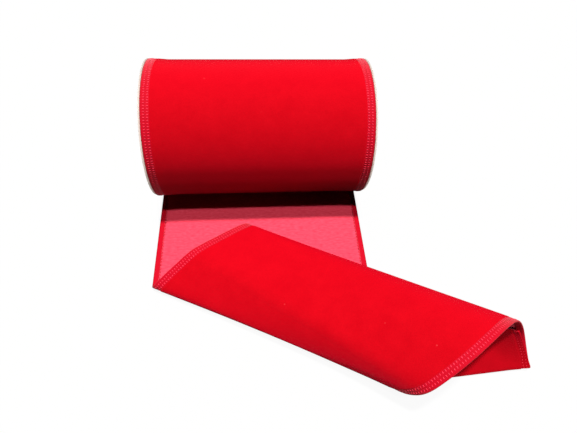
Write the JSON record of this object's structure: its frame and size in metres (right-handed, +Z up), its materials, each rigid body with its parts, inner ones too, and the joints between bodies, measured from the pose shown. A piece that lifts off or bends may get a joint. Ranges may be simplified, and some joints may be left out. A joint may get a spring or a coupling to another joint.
{
  "type": "roll of velvet ribbon",
  "caption": "Wide velvet ribbon wound on a roll between card discs, its loose end pulled out flat and folded over into a soft loop.",
  "frame": {"origin": "on the table, under the middle of the roll, on the lower face of the loose end", "axes": "+Z up, X along the roll's axis, the loose end comes out towards -Y"},
  "size_m": [0.1619, 0.159, 0.0647],
  "materials": {
    "velvet": "red short-pile velvet, plain woven back",
    "card": "matt cream card"
  },
  "bodies": {
    "root": {"wound_roll": "velvet", "end_disc_right": "card", "end_disc_left": "card", "loose_end": "velvet"}
  },
  "joints": []
}
